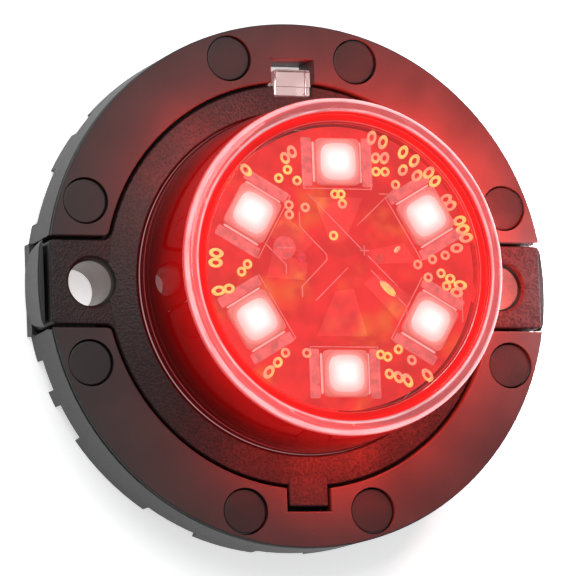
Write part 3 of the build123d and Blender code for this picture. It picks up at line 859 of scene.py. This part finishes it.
# Solder strips beside each LED take the package's finish, with its painted pink glow.
pads = [led_pads(i, package_half + 0.03, package_half + 0.22, 1.9, via_height) for i in leds]
piece("board_led_solder", *together(pads), finishes["led_package_white"], "pin_brass")
piece("board_polarity_marks", *polarity_marks(), board_ink, "led_board_mask")
spot = ring(*minus_place, 1.1, 0.02, board_front, board_front + pour_height + 0.005, turns=36)
piece("board_minus_spot", *spot, faint_ink, "led_board_mask")
copper = together([prism(outline, board_front, board_front + pour_height) for outline in pours])
piece("board_copper_areas", *copper, pour_glow, "led_board_mask")


# ---------------------------------------------------------------- floor, world, lights and camera
def pale_floor(size=4000.0):
    """Pale studio floor that glows a little, as a light table does."""
    mesh = bpy.data.meshes.new("floor")
    half = size * MM / 2
    corners = [(-half, -half, 0), (half, -half, 0), (half, half, 0), (-half, half, 0)]
    mesh.from_pydata(corners, [], [(0, 1, 2, 3)])
    f = Finish("studio_floor")
    tone = f.noise(f.place(), 400.0, 1.0)
    colour = f.blend(tone, (0.86, 0.86, 0.87), (0.9, 0.9, 0.9))
    values = {"Emission Color": (1, 1, 1), "Emission Strength": 0.58}
    mesh.materials.append(f.shade(Base_Color=colour, Roughness=0.6, **values))
    made = bpy.data.objects.new("floor", mesh)
    bpy.context.scene.collection.objects.link(made)


def soft_box(name, spot, side, power, aim=(0, 0, 7)):
    """A square soft box at a place, facing the object; power is in watts."""
    data = bpy.data.lights.new(name, "AREA")
    data.shape = "SQUARE"
    data.size = side * MM
    data.energy = power
    made = bpy.data.objects.new(name, data)
    bpy.context.scene.collection.objects.link(made)
    spot, aim = Vector(spot) * MM, Vector(aim) * MM
    made.location = spot
    made.rotation_mode = "QUATERNION"
    made.rotation_quaternion = (spot - aim).to_track_quat("Z", "Y")
    made.visible_camera = False


def glow_light(name, angle, power, height, radius=16.8, soft=2.6, colour=(1.0, 0.035, 0.02)):
    """Light that leaves the lens near its rim; power is in milliwatts."""
    data = bpy.data.lights.new(name, "POINT")
    data.energy = power / 1000
    data.color = colour
    data.shadow_soft_size = soft * MM
    made = bpy.data.objects.new(name, data)
    bpy.context.scene.collection.objects.link(made)
    turn = np.radians(angle)
    made.location = (radius * np.cos(turn) * MM, radius * np.sin(turn) * MM, height * MM)
    made.visible_camera = False
    made.visible_glossy = False
    made.visible_transmission = False


def studio():
    """Backdrop, soft box, and the light that the lens throws on the housing, strongest on its right."""
    world = bpy.data.worlds.new("studio")
    world.use_nodes = True
    background = world.node_tree.nodes["Background"]
    background.inputs["Color"].default_value = (0.94, 0.95, 0.96, 1)
    seen = world.node_tree.nodes.new("ShaderNodeLightPath")
    strength = world.node_tree.nodes.new("ShaderNodeMapRange")
    world.node_tree.links.new(seen.outputs["Is Camera Ray"], strength.inputs["Value"])
    strength.inputs["To Min"].default_value = 0.3
    strength.inputs["To Max"].default_value = 0.95
    world.node_tree.links.new(strength.outputs["Result"], background.inputs["Strength"])
    bpy.context.scene.world = world
    soft_box("key_box", (-40, 80, 160), 120, 0.2)
    for index in range(20):
        angle = index * 18
        side, below, upper_left = ((1 + np.cos(np.radians(angle - middle))) / 2 for middle in (22, 282, 128))
        power = 0.6 + 58 * side**10 + 18 * below**14 + 9 * upper_left**20
        glow_light(f"lens_glow_{index + 1}", angle, power, 9.7 + 3.5 * side**4)
    glow_light("ear_glow", 0, 44.0, 11.5, radius=30.5, soft=3.0, colour=(1.0, 0.66, 0.67))


def camera():
    """The viewing camera: a long lens, a little to the left of and below the light's axis."""
    yaw, pitch, roll = 0.3583, 0.1379, -0.039
    away, right, up = 464.82, 1.2286, 0.3732
    focal, film = 307.607, 36
    toward = np.array([-np.sin(yaw) * np.cos(pitch), -np.sin(pitch), np.cos(yaw) * np.cos(pitch)])
    side = np.cross(-toward, (0, 1, 0))
    side /= np.linalg.norm(side)
    over = np.cross(side, -toward)
    side, over = np.cos(roll) * side + np.sin(roll) * over, np.cos(roll) * over - np.sin(roll) * side
    place = away * toward - right * side - up * over + np.array([0, 0, plate_front])
    data = bpy.data.cameras.new("camera")
    data.lens = focal
    data.sensor_width = film
    data.clip_start, data.clip_end = 0.01, 20
    made = bpy.data.objects.new("camera", data)
    bpy.context.scene.collection.objects.link(made)
    turn = Matrix(np.column_stack([side, over, toward]).tolist())
    made.matrix_world = Matrix.Translation((place * MM).tolist()) @ turn.to_4x4()
    bpy.context.scene.camera = made


pale_floor()
studio()
camera()
bpy.context.scene.view_settings.view_transform = "Standard"
